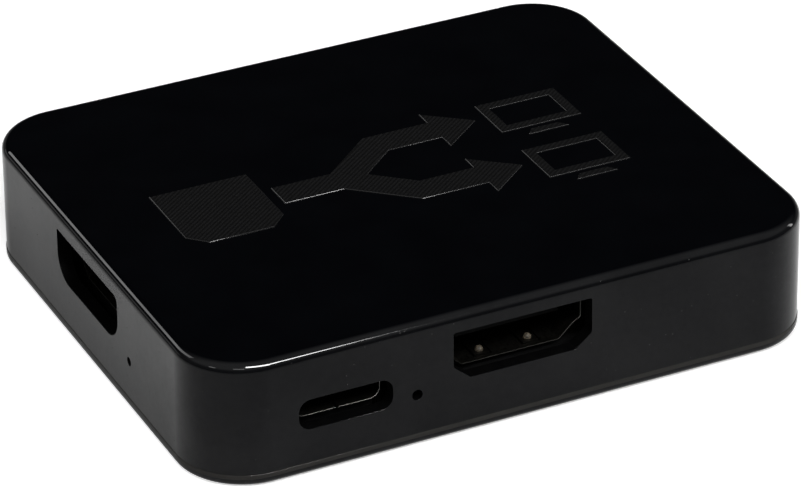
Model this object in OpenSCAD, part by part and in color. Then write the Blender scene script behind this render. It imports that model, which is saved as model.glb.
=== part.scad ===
// Pocket video splitter: one video input, two video outputs and an oval power socket in a
// two-piece moulded case. Front is -Y, up is +Z, and the origin is the middle of the underside.

/* [Case] */
// Width of the case, left to right
case_width = 66; // [62:0.5:80]
// Depth of the case, front to back
case_depth = 55.7; // [52:0.1:70]
// Radius of the upright corners
corner_radius = 7; // [6:0.25:8]
// Radius of the rounded top edge
top_edge_radius = 1; // [0.5:0.1:1.3]
// Radius of the rounded base edge
base_edge_radius = 0.55; // [0.3:0.05:0.9]
// Thickness of the side walls
wall = 1.5; // [1.2:0.1:1.7]
// Thickness of the roof
roof = 1.3; // [1.1:0.1:2]
// Thickness of the base cover, which is also the height of the parting line
base_plate = 1.2; // [1.1:0.1:2]
// How far the base cover stands out beyond the upper shell at the parting line
base_flange = 0.14; // [0:0.02:0.2]
// Free height between the video sockets and the roof
roof_clearance = 0.28; // [0.2:0.02:1.5]

/* [Openings] */
// Overlap of a video opening's sides over the socket behind it
video_opening_side_lap = 0.17; // [0:0.01:0.3]
// Overlap of a video opening's top and bottom over the socket behind it
video_opening_lap = 0.27; // [0:0.01:0.4]
// How far the middle of a video opening sits below the socket's middle
video_opening_drop = 0.24; // [0:0.02:0.3]
// Width of the slanted lower corners of a video opening
video_opening_slant_width = 1.75; // [1.2:0.05:2.2]
// Height of the slanted lower corners of a video opening
video_opening_slant_height = 1.45; // [1:0.05:2]
// Radius at the corners of a video opening
video_opening_corner = 0.25; // [0.1:0.05:0.4]
// Free width on each side of the power socket in its opening
power_opening_side_gap = 0.37; // [0.1:0.01:0.8]
// Overlap of the power opening's top and bottom over the socket behind it
power_opening_lap = 0; // [0:0.05:0.2]
// How far the middle of the power opening sits below the socket's middle
power_opening_drop = 0.34; // [0:0.02:0.5]
// Corner radius of the power opening
power_opening_corner = 1.25; // [0.8:0.05:1.4]
// Diameter of the pinholes in front of the lights
pinhole_diameter = 1.1; // [0.8:0.1:1.6]

/* [Fastening] */
// Free space between a screw boss and the case's inner corner
boss_gap = 0.45; // [0.2:0.05:0.8]
// Outer diameter of the screw bosses
boss_diameter = 5; // [4.4:0.1:5.4]
// Thread diameter of the cover screws
screw_diameter = 2; // [1.6:0.1:2.2]
// Length of the cover screws under the head
screw_length = 7; // [5:0.5:8]
// Head diameter of the cover screws
screw_head_diameter = 3.8; // [3.4:0.1:4.2]
// Head height of the cover screws
screw_head_height = 1.1; // [0.9:0.1:1.4]
// Depth of the screw heads below the underside
screw_head_sink = 0.2; // [0.1:0.05:0.4]
// Plastic left under each screw head
screw_seat = 1.1; // [0.8:0.1:1.6]
// Height of the locating lips above the parting line
lip_height = 1.2; // [0.8:0.1:1.6]
// Thickness of the locating lips
lip_thickness = 1; // [0.8:0.1:1.2]

/* [Circuit board] */
// Thickness of the circuit board
board_thickness = 1.6; // [1:0.2:2]
// Free space between the board's edge and the walls
board_gap = 1.6; // [1.2:0.1:2]
// Height of the posts under the board
post_height = 2.3; // [2.2:0.1:3.5]
// Diameter of the posts under the board
post_diameter = 4; // [3:0.2:4.6]
// Diameter of the pins that hold the board down
hold_down_diameter = 3; // [2.4:0.2:3.6]
// Distance of the posts from the left and right faces
post_inset = 6.5; // [6:0.25:7.5]
// Distance of the posts from the middle, front and back
post_offset = 13.5; // [12:0.25:15]

/* [Video sockets] */
// Distance of a socket's rim behind the wall
video_rim_gap = 0.8; // [0.5:0.1:1.5]
// Outer width of the metal shell
video_shell_width = 15; // [14.6:0.1:15.4]
// Outer height of the metal shell
video_shell_height = 5.55; // [5.4:0.05:5.8]
// Width of the shell's flat underside
video_shell_flat = 10.2; // [9.6:0.1:10.8]
// Height of the shell's shoulder, where its sides turn upright
video_shell_shoulder = 2.1; // [1.8:0.1:2.4]
// Distance of the shoulder's break in from the shell's sides
video_shell_break_inset = 0.75; // [0.5:0.05:1]
// Depth of the shoulder's break below the shoulder
video_shell_break_drop = 0.55; // [0.4:0.05:0.7]
// Inner bend radius of the shell
video_shell_bend = 0.25; // [0.15:0.05:0.3]
// Length of the metal shell
video_shell_length = 11; // [10:0.25:12]
// Sheet thickness of the shells
shell_sheet = 0.3; // [0.2:0.05:0.35]
// Height of the shell above the board
video_standoff = 0.82; // [0.6:0.02:1]
// Distance of the tongue's tip behind the rim
tongue_setback = 1.3; // [1:0.1:1.6]
// Width of the tongue
tongue_width = 11; // [10.6:0.1:11.4]
// Thickness of the tongue
tongue_thickness = 1.2; // [1:0.1:1.4]
// Distance of the tongue's middle above the shell's underside
tongue_height = 3.05; // [2.9:0.05:3.2]
// Distance between neighbouring contacts of one row
contact_pitch = 1; // [0.9:0.05:1.05]
// Width of a contact
contact_width = 0.4; // [0.3:0.05:0.45]
// Thickness of a contact
contact_thickness = 0.15; // [0.1:0.05:0.2]
// Distance of the spring fingers from the middle
finger_offset = 2.58; // [2.2:0.02:3]
// Sideways shift of the pair of spring fingers
finger_shift = -0.28; // [-0.4:0.02:0.4]
// Width of a spring finger
finger_width = 1.6; // [1.2:0.1:2]
// Length of a spring finger
finger_length = 4.6; // [4:0.1:5]
// Slope of a spring finger, in degrees
finger_slope = 1; // [0.5:0.5:5]
// Diameter of the dome on a spring finger
dome_diameter = 0.9; // [0.7:0.1:1.1]

/* [Power socket] */
// Distance of the power socket's side from the screw boss beside it
power_boss_gap = 2.32; // [1.6:0.01:3]
// Distance of the power socket's rim behind the wall
power_rim_gap = 0.2; // [0.1:0.05:0.8]
// Outer width of the power socket's shell
power_shell_width = 8.94; // [8.6:0.02:9.2]
// Outer height of the power socket's shell
power_shell_height = 3.2; // [3:0.05:3.3]
// Length of the power socket's shell
power_shell_length = 7.3; // [6.5:0.1:8]
// Width of the folding seam under the power socket's shell
shell_seam = 0.1; // [0.05:0.05:0.2]
// Width of the power socket's tongue
power_tongue_width = 6.7; // [6.4:0.05:6.9]
// Thickness of the power socket's tongue
power_tongue_thickness = 0.7; // [0.6:0.05:0.8]

/* [Lights] */
// Distance of the power light from the input socket's side
input_light_gap = 3.7; // [2:0.05:4]
// Distance of the output lights from the output sockets' sides, towards the front
output_light_gap = 2.35; // [2:0.05:3]
// Width of a light
light_width = 1.6; // [1.2:0.1:1.8]
// Depth of a light
light_depth = 0.9; // [0.7:0.1:1.2]
// Height of a light
light_height = 0.7; // [0.6:0.05:1]
// Depth of a light's lens
light_lens = 0.35; // [0.2:0.05:0.5]

/* [Chips] */
// Side of the splitter chip
chip_side = 10; // [7:0.5:11]
// Height of the splitter chip
chip_height = 1.4; // [1:0.1:1.6]
// Leads on each side of the splitter chip
chip_leads = 16; // [8:1:18]
// Distance between the splitter chip's leads
chip_lead_pitch = 0.5; // [0.4:0.05:0.5]

/* [Hidden] */
$fn = 72;

// Small cutting overrun, seating clearances and board clearances
over = 0.5;
slip = 0.05;
thread_slip = 0.02;
lip_clearance = 0.1;
hold_down_gap = 0.1;
leg_clearance = 0.12;
boss_clearance = 0.6;

// Heights of the stack, from the underside up
board_underside = base_plate + post_height;
board_top = board_underside + board_thickness;
video_floor = board_top + video_standoff;
roof_underside = video_floor + video_shell_height + roof_clearance;
case_height = roof_underside + roof;
video_opening_floor = video_floor + video_opening_lap - video_opening_drop;
power_opening_axis = board_top + power_shell_height / 2 - power_opening_drop;
light_axis = board_top + light_height / 2;
screw_pad_top = screw_head_sink + screw_head_height + screw_seat;
screw_seat_height = screw_head_sink + screw_head_height;

// Screw holes in the cover
screw_hole_diameter = screw_diameter + 0.4;
screw_bore_diameter = screw_head_diameter + 0.5;
screw_bore_end = 0.5;

// Through-board legs of the sockets
leg_width = 1.5;
leg_tip = 0.8;
video_leg_places = [1.9, 8.4];
power_leg_places = [1.2, 5.2];

// Video socket insulator, behind the tongue
housing_front = 7.4;
housing_back_wall = 0.8;
housing_foot_front = 6.8;
contact_start = 0.7;
contact_foot = 1.2;
finger_slit = 0.2;
finger_tip = 0.8;
dome_from_tip = 0.75;

// Power socket insulator
power_tongue_setback = 1;
power_housing_front = 5.4;
power_contact_pitch = 0.5;
power_contact_columns = [for (place = [-5, -2, 3]) place * power_contact_pitch];
power_contact_width = 0.3;
power_contact_foot = 0.8;

// Plan of the case: bosses lie on the diagonals of the inner corners
half_width = case_width / 2;
half_depth = case_depth / 2;
boss_reach = corner_radius - wall - boss_gap - boss_diameter / 2;
boss_inset = corner_radius - boss_reach / sqrt(2);
boss_x = half_width - boss_inset;
boss_y = half_depth - boss_inset;
post_x = half_width - post_inset;
board_inset = wall + board_gap;
video_setback = wall + video_rim_gap;
power_setback = wall + power_rim_gap;

// Openings, lights and the power socket along their faces
video_opening_width = video_shell_width - 2 * video_opening_side_lap;
video_opening_height = video_shell_height - 2 * video_opening_lap;
power_opening_width = power_shell_width + 2 * power_opening_side_gap;
power_opening_height = power_shell_height - 2 * power_opening_lap;
power_light_offset = -video_shell_width / 2 - input_light_gap;
output_light_offset = video_shell_width / 2 + output_light_gap;
power_offset = boss_diameter / 2 + power_boss_gap + power_shell_width / 2 - boss_x;

// Faces of the case, as the turn about +Z that brings the front to that face
front_turn = 0;
left_turn = -90;
right_turn = 90;
light_places = [
    [front_turn, power_light_offset], [left_turn, output_light_offset],
    [right_turn, -output_light_offset]
];
light_border = 0.25;

// Small parts on the board: leads, key marks and the gap between neighbours
part_gap = 0.6;
lead_thickness = 0.13;
lead_shoulder = 0.4;
lead_reach = 1;
chip_gap = 0.1;
key_inset = 0.8;
key_diameter = 0.6;
key_depth = 0.1;
passive_length = 1.6;
passive_width = 0.8;
passive_cap = 0.35;
capacitor_chip_height = 0.8;
resistor_chip_height = 0.5;
resistor_pitch = passive_width + part_gap;

// Splitter chip and the ring of capacitors round it
chip_shift = 1;
chip_place = [0, chip_shift, board_top];
chip_lead_width = chip_lead_pitch * 0.45;
chip_capacitor_ring = chip_side / 2 + lead_reach + 2 * part_gap;
chip_capacitor_spread = 3;

// Crystal behind the chip, with its two capacitors
crystal_length = 10.2;
crystal_width = 3.7;
crystal_height = 3.2;
crystal_flange = 0.4;
crystal_flange_height = 0.5;
crystal_gap = 5;
crystal_place = chip_place
    + [0, chip_capacitor_ring + passive_width / 2 + crystal_gap + crystal_width / 2, 0];
crystal_capacitor_offset = crystal_length / 2 + crystal_flange + passive_width / 2 + 3 * part_gap;

// Memory chip beside the crystal
memory_size = [4.9, 3.9, 1.5];
memory_pitch = 1.27;
memory_lead_width = 0.4;
memory_gap = 1.8;
memory_place = crystal_place
    - [crystal_capacitor_offset + passive_width / 2 + memory_gap + memory_size[0] / 2, 0, 0];
memory_resistor_row = memory_size[1] / 2 + lead_reach + part_gap + passive_length / 2;

// Regulator, its capacitors and inductor, in line behind the power socket's inner side
regulator_size = [6.5, 3.5, 1.6];
regulator_pitch = 2.3;
regulator_lead_width = 0.7;
regulator_tab_width = 3;
regulator_reach = 1.6;
regulator_side_gap = 2.4;
power_rear = power_setback + power_shell_length + power_contact_foot - half_depth;
regulator_capacitor_row = power_rear + part_gap + passive_width / 2;
regulator_place = [
    -video_shell_width / 2 - regulator_side_gap - regulator_size[0] / 2,
    regulator_capacitor_row + passive_width / 2 + part_gap + regulator_reach
        + regulator_size[1] / 2,
    board_top
];
inductor_side = 3.6;
inductor_height = 2;
inductor_cheek = 0.5;
inductor_corner = 0.5;
inductor_drum = 2.6;
inductor_place = regulator_place
    + [0, regulator_size[1] / 2 + regulator_reach + part_gap + inductor_side / 2, 0];

// Bulk capacitor on the other side of the input socket
capacitor_diameter = 5;
capacitor_height = 5.4;
capacitor_base = 0.6;
capacitor_neck = 0.25;
capacitor_foot = 5.3;
capacitor_foot_corner = 0.8;
capacitor_gap = 5;
capacitor_place = [
    video_shell_width / 2 + capacitor_gap + capacitor_foot / 2,
    board_inset + capacitor_gap + capacitor_foot / 2 - half_depth,
    board_top
];

// Surge arrays behind the video contacts
surge_size = [2.5, 1, 0.6];
surge_offset = 2.9;

// Rounds every corner of a polygon with the same radius
function rounded_points(pts, r, steps = 4) = [
    for (i = [0 : len(pts) - 1])
        let (
            u = unit(neighbour(pts, i, -1) - pts[i]),
            v = unit(neighbour(pts, i, 1) - pts[i]),
            half_angle = acos(u * v) / 2,
            centre = pts[i] + unit(u + v) * r / sin(half_angle),
            from = pts[i] + u * r / tan(half_angle) - centre,
            to = pts[i] + v * r / tan(half_angle) - centre,
            sweep = turn_between(from, to)
        )
        for (k = [0 : steps]) centre + turned(from, sweep * k / steps)
];

// Draws a counter-clockwise polygon in by d, keeping its edges parallel
function inset_points(pts, d) = [
    for (i = [0 : len(pts) - 1])
        let (
            n1 = turned(unit(pts[i] - neighbour(pts, i, -1)), 90),
            n2 = turned(unit(neighbour(pts, i, 1) - pts[i]), 90)
        )
        pts[i] + (n1 + n2) * d / (1 + n1 * n2)
];
function neighbour(pts, i, step) = pts[(i + step + len(pts)) % len(pts)];
function unit(v) = v / norm(v);
function turned(v, a) = [v[0] * cos(a) - v[1] * sin(a), v[0] * sin(a) + v[1] * cos(a)];
function turn_between(a, b) = atan2(a[0] * b[1] - a[1] * b[0], a * b);

// Outer corners of a video socket's shell, wide at the top
function video_corners() =
    let (
        w = video_shell_width / 2,
        f = video_shell_flat / 2,
        s = video_shell_shoulder,
        k = w - video_shell_break_inset,
        drop = s - video_shell_break_drop,
        top = video_shell_height
    )
    [[-w, top], [-w, s], [-k, drop], [-f, 0], [f, 0], [k, drop], [w, s], [w, top]];

// Outline of a video socket, drawn in by inset
function video_outline(inset) =
    rounded_points(inset_points(video_corners(), inset),
                   max(video_shell_bend + shell_sheet - inset, video_shell_bend / 2));

// Flat shapes

module rounded_rectangle(w, d, r) {
    square([w - 2 * r, d], center = true);
    square([w, d - 2 * r], center = true);
    for (x = [-1, 1], y = [-1, 1])
        translate([x * (w / 2 - r), y * (d / 2 - r)]) circle(r);
}

module video_opening_outline() {
    w = video_opening_width / 2;
    h = video_opening_height;
    sw = video_opening_slant_width;
    sh = video_opening_slant_height;
    polygon(rounded_points(
        [[-w, h], [-w, sh], [-w + sw, 0], [w - sw, 0], [w, sh], [w, h]], video_opening_corner));
}

// Section of the case's edge from its middle outwards: top and bottom radius
module edge_section(reach, z0, z1, top_r, bottom_r) {
    difference() {
        translate([0, z0]) square([reach, z1 - z0]);
        if (top_r > 0)
            translate([reach - top_r, z1 - top_r]) difference() {
                square(top_r + over);
                circle(top_r);
            }
        if (bottom_r > 0)
            translate([reach - bottom_r, z0 + bottom_r]) difference() {
                translate([0, -bottom_r - over]) square(bottom_r + over);
                circle(bottom_r);
            }
    }
}

// Rounded block of the case's plan, drawn in by inset: two crossed slabs and four revolved corners
module case_block(inset, z0, z1, top_r, bottom_r) {
    reach_x = half_width - corner_radius;
    reach_y = half_depth - corner_radius;
    for (turn = [0, 180]) {
        rotate([0, 0, turn]) translate([0, reach_y, 0]) rotate([90, 0, 0])
            linear_extrude(2 * reach_y) edge_section(half_width - inset, z0, z1, top_r, bottom_r);
        rotate([0, 0, turn]) translate([-reach_x, 0, 0]) rotate([90, 0, 90])
            linear_extrude(2 * reach_x) edge_section(half_depth - inset, z0, z1, top_r, bottom_r);
    }
    for (corner = [[1, 1, 0], [-1, 1, 90], [-1, -1, 180], [1, -1, 270]])
        translate([corner[0] * reach_x, corner[1] * reach_y, 0]) rotate([0, 0, corner[2]])
            rotate_extrude(angle = 90)
                edge_section(corner_radius - inset, z0, z1, top_r, bottom_r);
}

// Upright block of the case's plan, drawn in by inset
module case_plan(inset, z0, z1) {
    translate([0, 0, z0]) linear_extrude(z1 - z0)
        rounded_rectangle(case_width - 2 * inset, case_depth - 2 * inset, corner_radius - inset);
}

// Places

// Puts a piece drawn for a front face, at y = 0 and going back, on a face of the case
module on_face(turn, setback) {
    distance = turn == front_turn ? half_depth : half_width;
    rotate([0, 0, turn]) translate([0, -distance + setback, 0]) children();
}

module at_bosses() {
    for (x = [-1, 1], y = [-1, 1]) translate([x * boss_x, y * boss_y, 0]) children();
}

module at_posts() {
    for (x = [-1, 1], y = [-1, 1]) translate([x * post_x, y * post_offset, 0]) children();
}

// Extrudes a flat shape drawn in x and z back from y = 0
module back_from_face(length) {
    translate([0, length, 0]) rotate([90, 0, 0]) linear_extrude(length) children();
}

// Case

module top_shell() {
    color("#0c0c0d") {
        difference() {
            case_block(base_flange, base_plate, case_height, min(top_edge_radius, roof), 0);
            case_plan(wall, base_plate - over, roof_underside);
            for (turn = [front_turn, left_turn, right_turn])
                on_face(turn, -over) translate([0, 0, video_opening_floor])
                    back_from_face(wall + 2 * over) video_opening_outline();
            on_face(front_turn, -over)
                translate([power_offset, 0, power_opening_axis])
                    back_from_face(wall + 2 * over)
                        rounded_rectangle(power_opening_width, power_opening_height,
                                          power_opening_corner);
            for (place = light_places)
                on_face(place[0], -over) translate([place[1], 0, light_axis])
                    rotate([-90, 0, 0]) cylinder(d = pinhole_diameter, h = wall + 2 * over);
        }
        at_bosses() shell_boss();
        at_posts() translate([0, 0, board_top + hold_down_gap])
            cylinder(d = hold_down_diameter, h = roof_underside + over - board_top - hold_down_gap);
    }
}

module shell_boss() {
    difference() {
        translate([0, 0, screw_pad_top])
            cylinder(d = boss_diameter, h = roof_underside + over - screw_pad_top);
        translate([0, 0, screw_pad_top - over])
            cylinder(d = screw_diameter + 2 * thread_slip,
                     h = screw_seat_height + screw_length + screw_bore_end - screw_pad_top + over);
    }
}

module bottom_cover() {
    lip_x = half_width - wall - lip_clearance;
    lip_y = half_depth - wall - lip_clearance;
    color("#0c0c0d") difference() {
        union() {
            case_block(0, 0, base_plate, 0, min(base_edge_radius, 0.9 * base_plate));
            at_bosses() translate([0, 0, base_plate - over])
                cylinder(d = boss_diameter, h = screw_pad_top - base_plate + over);
            at_posts() translate([0, 0, base_plate - over])
                cylinder(d = post_diameter, h = post_height + over);
            for (side = [-1, 1]) {
                translate([0, side * (lip_y - lip_thickness / 2), 0])
                    locating_lip(2 * (boss_x - boss_diameter), lip_thickness);
                translate([side * (lip_x - lip_thickness / 2), 0, 0])
                    locating_lip(lip_thickness, 2 * (boss_y - boss_diameter));
            }
        }
        at_bosses() {
            translate([0, 0, -over]) cylinder(d = screw_hole_diameter, h = screw_pad_top + 2 * over);
            translate([0, 0, -over]) cylinder(d = screw_bore_diameter, h = screw_seat_height + over);
        }
    }
}

module locating_lip(w, d) {
    h = lip_height + over;
    translate([-w / 2, -d / 2, base_plate - over]) cube([w, d, h]);
}

module cover_screws() {
    recess = screw_head_diameter * 0.55;
    slot = screw_head_diameter * 0.14;
    color("#3a3b3d") at_bosses() translate([0, 0, screw_head_sink]) difference() {
        union() {
            cylinder(d = screw_head_diameter, h = screw_head_height);
            cylinder(d = screw_diameter, h = screw_head_height + screw_length);
        }
        for (turn = [0, 90])
            rotate([0, 0, turn]) translate([-recess / 2, -slot / 2, -over])
                cube([recess, slot, over + screw_head_height * 0.6]);
    }
}

// Circuit board

module circuit_board() {
    w = case_width - 2 * board_inset;
    d = case_depth - 2 * board_inset;
    color("#17181a") difference() {
        translate([0, 0, board_underside]) linear_extrude(board_thickness)
            rounded_rectangle(w, d, corner_radius - board_inset);
        at_bosses() translate([0, 0, board_underside - over])
            cylinder(d = boss_diameter + 2 * boss_clearance, h = board_thickness + 2 * over);
        for (turn = [front_turn, left_turn, right_turn])
            on_face(turn, video_setback) translate([0, 0, board_top])
                video_legs(leg_clearance);
        on_face(front_turn, power_setback) translate([power_offset, 0, board_top])
            power_legs(leg_clearance);
    }
}

// Legs of a video socket, in a frame with the board's top at z = 0; grow opens the board's slots
module video_legs(grow = 0) {
    for (side = [-1, 1], y = video_leg_places)
        socket_leg(side * (video_shell_width / 2 - shell_sheet / 2), y,
                   video_standoff + video_shell_shoulder + shell_sheet, grow);
}

module power_legs(grow = 0) {
    for (side = [-1, 1], y = power_leg_places)
        socket_leg(side * (power_shell_width / 2 - shell_sheet / 2), y,
                   power_shell_height / 2 + shell_sheet, grow);
}

module socket_leg(x, y, top, grow) {
    bottom = -board_thickness - leg_tip - grow;
    translate([x - shell_sheet / 2 - grow, y - grow, bottom])
        cube([shell_sheet + 2 * grow, leg_width + 2 * grow, top - bottom]);
}

// Video sockets, drawn with the rim at y = 0 and the board's top at z = 0

module video_shell() {
    color("#b9b6ae") {
        difference() {
            translate([0, 0, video_standoff]) back_from_face(video_shell_length)
                difference() {
                    polygon(video_outline(0));
                    polygon(video_outline(shell_sheet));
                }
            for (side = [-1, 1], z = [video_standoff, video_standoff + video_shell_height])
                translate([side * finger_offset + finger_shift - finger_width / 2 - finger_slit,
                           finger_tip - finger_slit, z - 2 * shell_sheet])
                    cube([finger_width + 2 * finger_slit, finger_length + finger_slit,
                          4 * shell_sheet]);
        }
        for (side = [-1, 1]) {
            translate([side * finger_offset + finger_shift, 0, video_standoff]) spring_finger();
            translate([side * finger_offset + finger_shift, 0,
                       video_standoff + video_shell_height])
                mirror([0, 0, 1]) spring_finger();
        }
        video_legs();
    }
}

// Spring finger cut from the sheet, rising into the socket towards the mouth
module spring_finger() {
    root = finger_tip + finger_length;
    translate([0, root, 0]) rotate([-finger_slope, 0, 0]) {
        translate([-finger_width / 2, -finger_length, 0])
            cube([finger_width, finger_length + shell_sheet, shell_sheet]);
        translate([0, dome_from_tip - finger_length, shell_sheet * 0.6])
            sphere(d = dome_diameter, $fn = 24);
    }
}

module video_housing() {
    color("#131313") difference() {
        union() {
            translate([0, housing_front, video_standoff])
                back_from_face(video_shell_length - housing_front + slip)
                    polygon(video_outline(shell_sheet + slip));
            translate([0, video_shell_length + slip, video_standoff])
                back_from_face(housing_back_wall - slip)
                    polygon(video_outline(0));
            translate([-video_shell_flat / 2, housing_foot_front, 0])
                cube([video_shell_flat, video_shell_length - housing_foot_front + slip,
                      video_standoff - slip]);
            translate([-video_shell_flat / 2, video_shell_length + slip, 0])
                cube([video_shell_flat, housing_back_wall - slip, video_standoff + over]);
            translate([-tongue_width / 2, tongue_setback,
                       video_standoff + tongue_height - tongue_thickness / 2])
                cube([tongue_width, housing_front + over - tongue_setback, tongue_thickness]);
        }
        video_contact_rows();
    }
}

module video_contacts() {
    color("#c9a45a") video_contact_rows();
}

// Two staggered rows of contacts: ten over the tongue and nine under it
module video_contact_rows() {
    start = tongue_setback + contact_start;
    rear = video_shell_length + housing_back_wall;
    upper = video_standoff + tongue_height + tongue_thickness / 2 - contact_thickness;
    lower = video_standoff + tongue_height - tongue_thickness / 2;
    for (i = [0 : 9])
        bent_contact((i - 4.5) * contact_pitch, start, rear, upper, contact_width, contact_foot);
    for (i = [0 : 8])
        bent_contact((i - 4) * contact_pitch, start, rear, lower, contact_width, contact_foot);
}

// Strip along the tongue, down behind the insulator, and a foot on the board
module bent_contact(x, start, rear, height, width, foot) {
    t = contact_thickness;
    translate([x - width / 2, 0, 0]) {
        translate([0, start, height]) cube([width, rear + t - start, t]);
        translate([0, rear, 0]) cube([width, t, height + t]);
        translate([0, rear, 0]) cube([width, foot, t]);
    }
}

module place_video(turn) {
    on_face(turn, video_setback) translate([0, 0, board_top]) children();
}

// Power socket, drawn the same way

module oval(w, h) {
    square([w - h, h], center = true);
    for (side = [-1, 1]) translate([side * (w - h) / 2, 0]) circle(h / 2);
}

module place_power() {
    on_face(front_turn, power_setback) translate([power_offset, 0, board_top]) children();
}

module power_socket_shell() {
    color("#b9b6ae") place_power() {
        difference() {
            translate([0, 0, power_shell_height / 2]) back_from_face(power_shell_length)
                difference() {
                    oval(power_shell_width, power_shell_height);
                    oval(power_shell_width - 2 * shell_sheet, power_shell_height - 2 * shell_sheet);
                }
            translate([-shell_seam / 2, -over, -over])
                cube([shell_seam, power_shell_length + 2 * over, over + 2 * shell_sheet]);
        }
        power_legs();
    }
}

module power_socket_housing() {
    gap = shell_sheet + slip;
    block = power_shell_length - power_housing_front;
    color("#131313") place_power() difference() {
        union() {
            translate([0, power_housing_front, power_shell_height / 2]) back_from_face(block)
                oval(power_shell_width - 2 * gap, power_shell_height - 2 * gap);
            translate([-power_tongue_width / 2, power_tongue_setback,
                       (power_shell_height - power_tongue_thickness) / 2])
                cube([power_tongue_width, power_housing_front + over - power_tongue_setback,
                      power_tongue_thickness]);
        }
        power_contact_rows();
    }
}

module power_socket_contacts() {
    color("#c9a45a") place_power() power_contact_rows();
}

module power_contact_rows() {
    start = power_tongue_setback + contact_start;
    upper = (power_shell_height + power_tongue_thickness) / 2 - contact_thickness;
    lower = (power_shell_height - power_tongue_thickness) / 2;
    for (x = power_contact_columns) {
        bent_contact(x, start, power_shell_length, upper, power_contact_width,
                     power_contact_foot);
        bent_contact(-x, start, power_shell_length, lower, power_contact_width,
                     power_contact_foot);
    }
}

// Lights

// Side-looking light at the board's edge, with a rounded lens towards the pinhole
module light(turn, offset) {
    body = light_depth - light_lens;
    lens_width = light_width - 2 * light_border;
    color("#e8e4d8") on_face(turn, board_inset) translate([offset, light_lens, board_top]) {
        translate([-light_width / 2, 0, 0]) cube([light_width, body, light_height]);
        intersection() {
            translate([-lens_width / 2, 0, light_height / 2]) rotate([0, 90, 0])
                cylinder(r = light_lens, h = lens_width);
            translate([-lens_width / 2, -light_lens, 0])
                cube([lens_width, light_lens + body / 2, light_height]);
        }
    }
}

// Chips

// Gull-wing lead that leaves a package at y = 0 and stands on z = 0
module gull_lead(width, shoulder, reach) {
    t = lead_thickness;
    translate([-width / 2, 0, shoulder - t]) cube([width, lead_shoulder + t, t]);
    translate([-width / 2, lead_shoulder, 0]) cube([width, t, shoulder]);
    translate([-width / 2, lead_shoulder, 0]) cube([width, reach - lead_shoulder, t]);
}

// Moulded package with a key mark, standing a little off the board
module chip_package(size) {
    difference() {
        translate([-size[0] / 2, -size[1] / 2, chip_gap])
            cube([size[0], size[1], size[2] - chip_gap]);
        translate([key_inset - size[0] / 2, key_inset - size[1] / 2, size[2] - key_depth])
            cylinder(d = key_diameter, h = over);
    }
}

module splitter_chip() {
    color("#1b1c1e") translate(chip_place) chip_package([chip_side, chip_side, chip_height]);
}

module splitter_chip_leads() {
    color("#c4c6c8") translate(chip_place)
        for (turn = [0, 90, 180, 270], i = [0 : chip_leads - 1])
            rotate([0, 0, turn])
                translate([(i - (chip_leads - 1) / 2) * chip_lead_pitch, chip_side / 2, 0])
                    gull_lead(chip_lead_width, chip_height / 2, lead_reach);
}

module memory_chip() {
    color("#1b1c1e") translate(memory_place) {
        chip_package(memory_size);
        for (turn = [0, 180], i = [-1.5 : 1.5])
            rotate([0, 0, turn]) translate([i * memory_pitch, memory_size[1] / 2, 0])
                gull_lead(memory_lead_width, memory_size[2] / 2, lead_reach);
    }
}

// Regulator with three leads towards the power socket and a broad tab behind
module voltage_regulator() {
    color("#1b1c1e") translate(regulator_place) {
        chip_package(regulator_size);
        for (i = [-1 : 1])
            rotate([0, 0, 180]) translate([i * regulator_pitch, regulator_size[1] / 2, 0])
                gull_lead(regulator_lead_width, regulator_size[2] / 2, regulator_reach);
        translate([0, regulator_size[1] / 2, 0])
            gull_lead(regulator_tab_width, regulator_size[2] / 2, regulator_reach);
    }
}

// Drum core between two square cheeks
module power_inductor() {
    color("#3b3d40") translate(inductor_place) {
        for (z = [0, inductor_height - inductor_cheek])
            translate([0, 0, z]) linear_extrude(inductor_cheek)
                rounded_rectangle(inductor_side, inductor_side, inductor_corner);
        cylinder(d = inductor_drum, h = inductor_height - inductor_cheek / 2);
    }
}

// Can with a rolled neck over its square base
module bulk_capacitor() {
    r = capacitor_diameter / 2;
    n = capacitor_neck;
    neck = capacitor_base + 4 * n;
    color("#c8cacc") translate(capacitor_place) {
        linear_extrude(capacitor_base)
            rounded_rectangle(capacitor_foot, capacitor_foot, capacitor_foot_corner);
        rotate_extrude() polygon([
            [0, capacitor_base - slip], [r - n, capacitor_base - slip], [r, capacitor_base + n],
            [r, neck - n], [r - n, neck], [r, neck + n],
            [r, capacitor_height - n], [r - n, capacitor_height], [0, capacitor_height]
        ]);
    }
}

// Oval can on its flanged base
module crystal() {
    color("#cfd0d0") translate(crystal_place) {
        linear_extrude(crystal_flange_height)
            oval(crystal_length + 2 * crystal_flange, crystal_width + 2 * crystal_flange);
        linear_extrude(crystal_height) oval(crystal_length, crystal_width);
    }
}

// Chip passive lying along x: a body between two end caps
module passive(height) {
    cap = passive_cap;
    translate([cap - passive_length / 2 - slip, slip - passive_width / 2, 0])
        cube([passive_length - 2 * cap + 2 * slip, passive_width - 2 * slip, height - slip]);
    for (side = [-1, 1])
        translate([side * (passive_length - cap) / 2 - cap / 2, -passive_width / 2, 0])
            cube([cap, passive_width, height]);
}

// Chip passive lying along y
module upright_passive(height) {
    rotate([0, 0, 90]) passive(height);
}

// Capacitors in a ring round the splitter chip, before the regulator and beside the crystal
module chip_capacitors() {
    h = capacitor_chip_height;
    color("#b09a78") {
        translate(chip_place) for (turn = [0, 90, 180, 270], i = [-1 : 1])
            rotate([0, 0, turn]) translate([i * chip_capacitor_spread, chip_capacitor_ring, 0])
                passive(h);
        for (i = [-1 : 1])
            translate([regulator_place[0] + i * regulator_pitch, regulator_capacitor_row, board_top])
                passive(h);
        for (side = [-1, 1]) translate(crystal_place + [side * crystal_capacitor_offset, 0, 0])
            upright_passive(h);
    }
}

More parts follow.
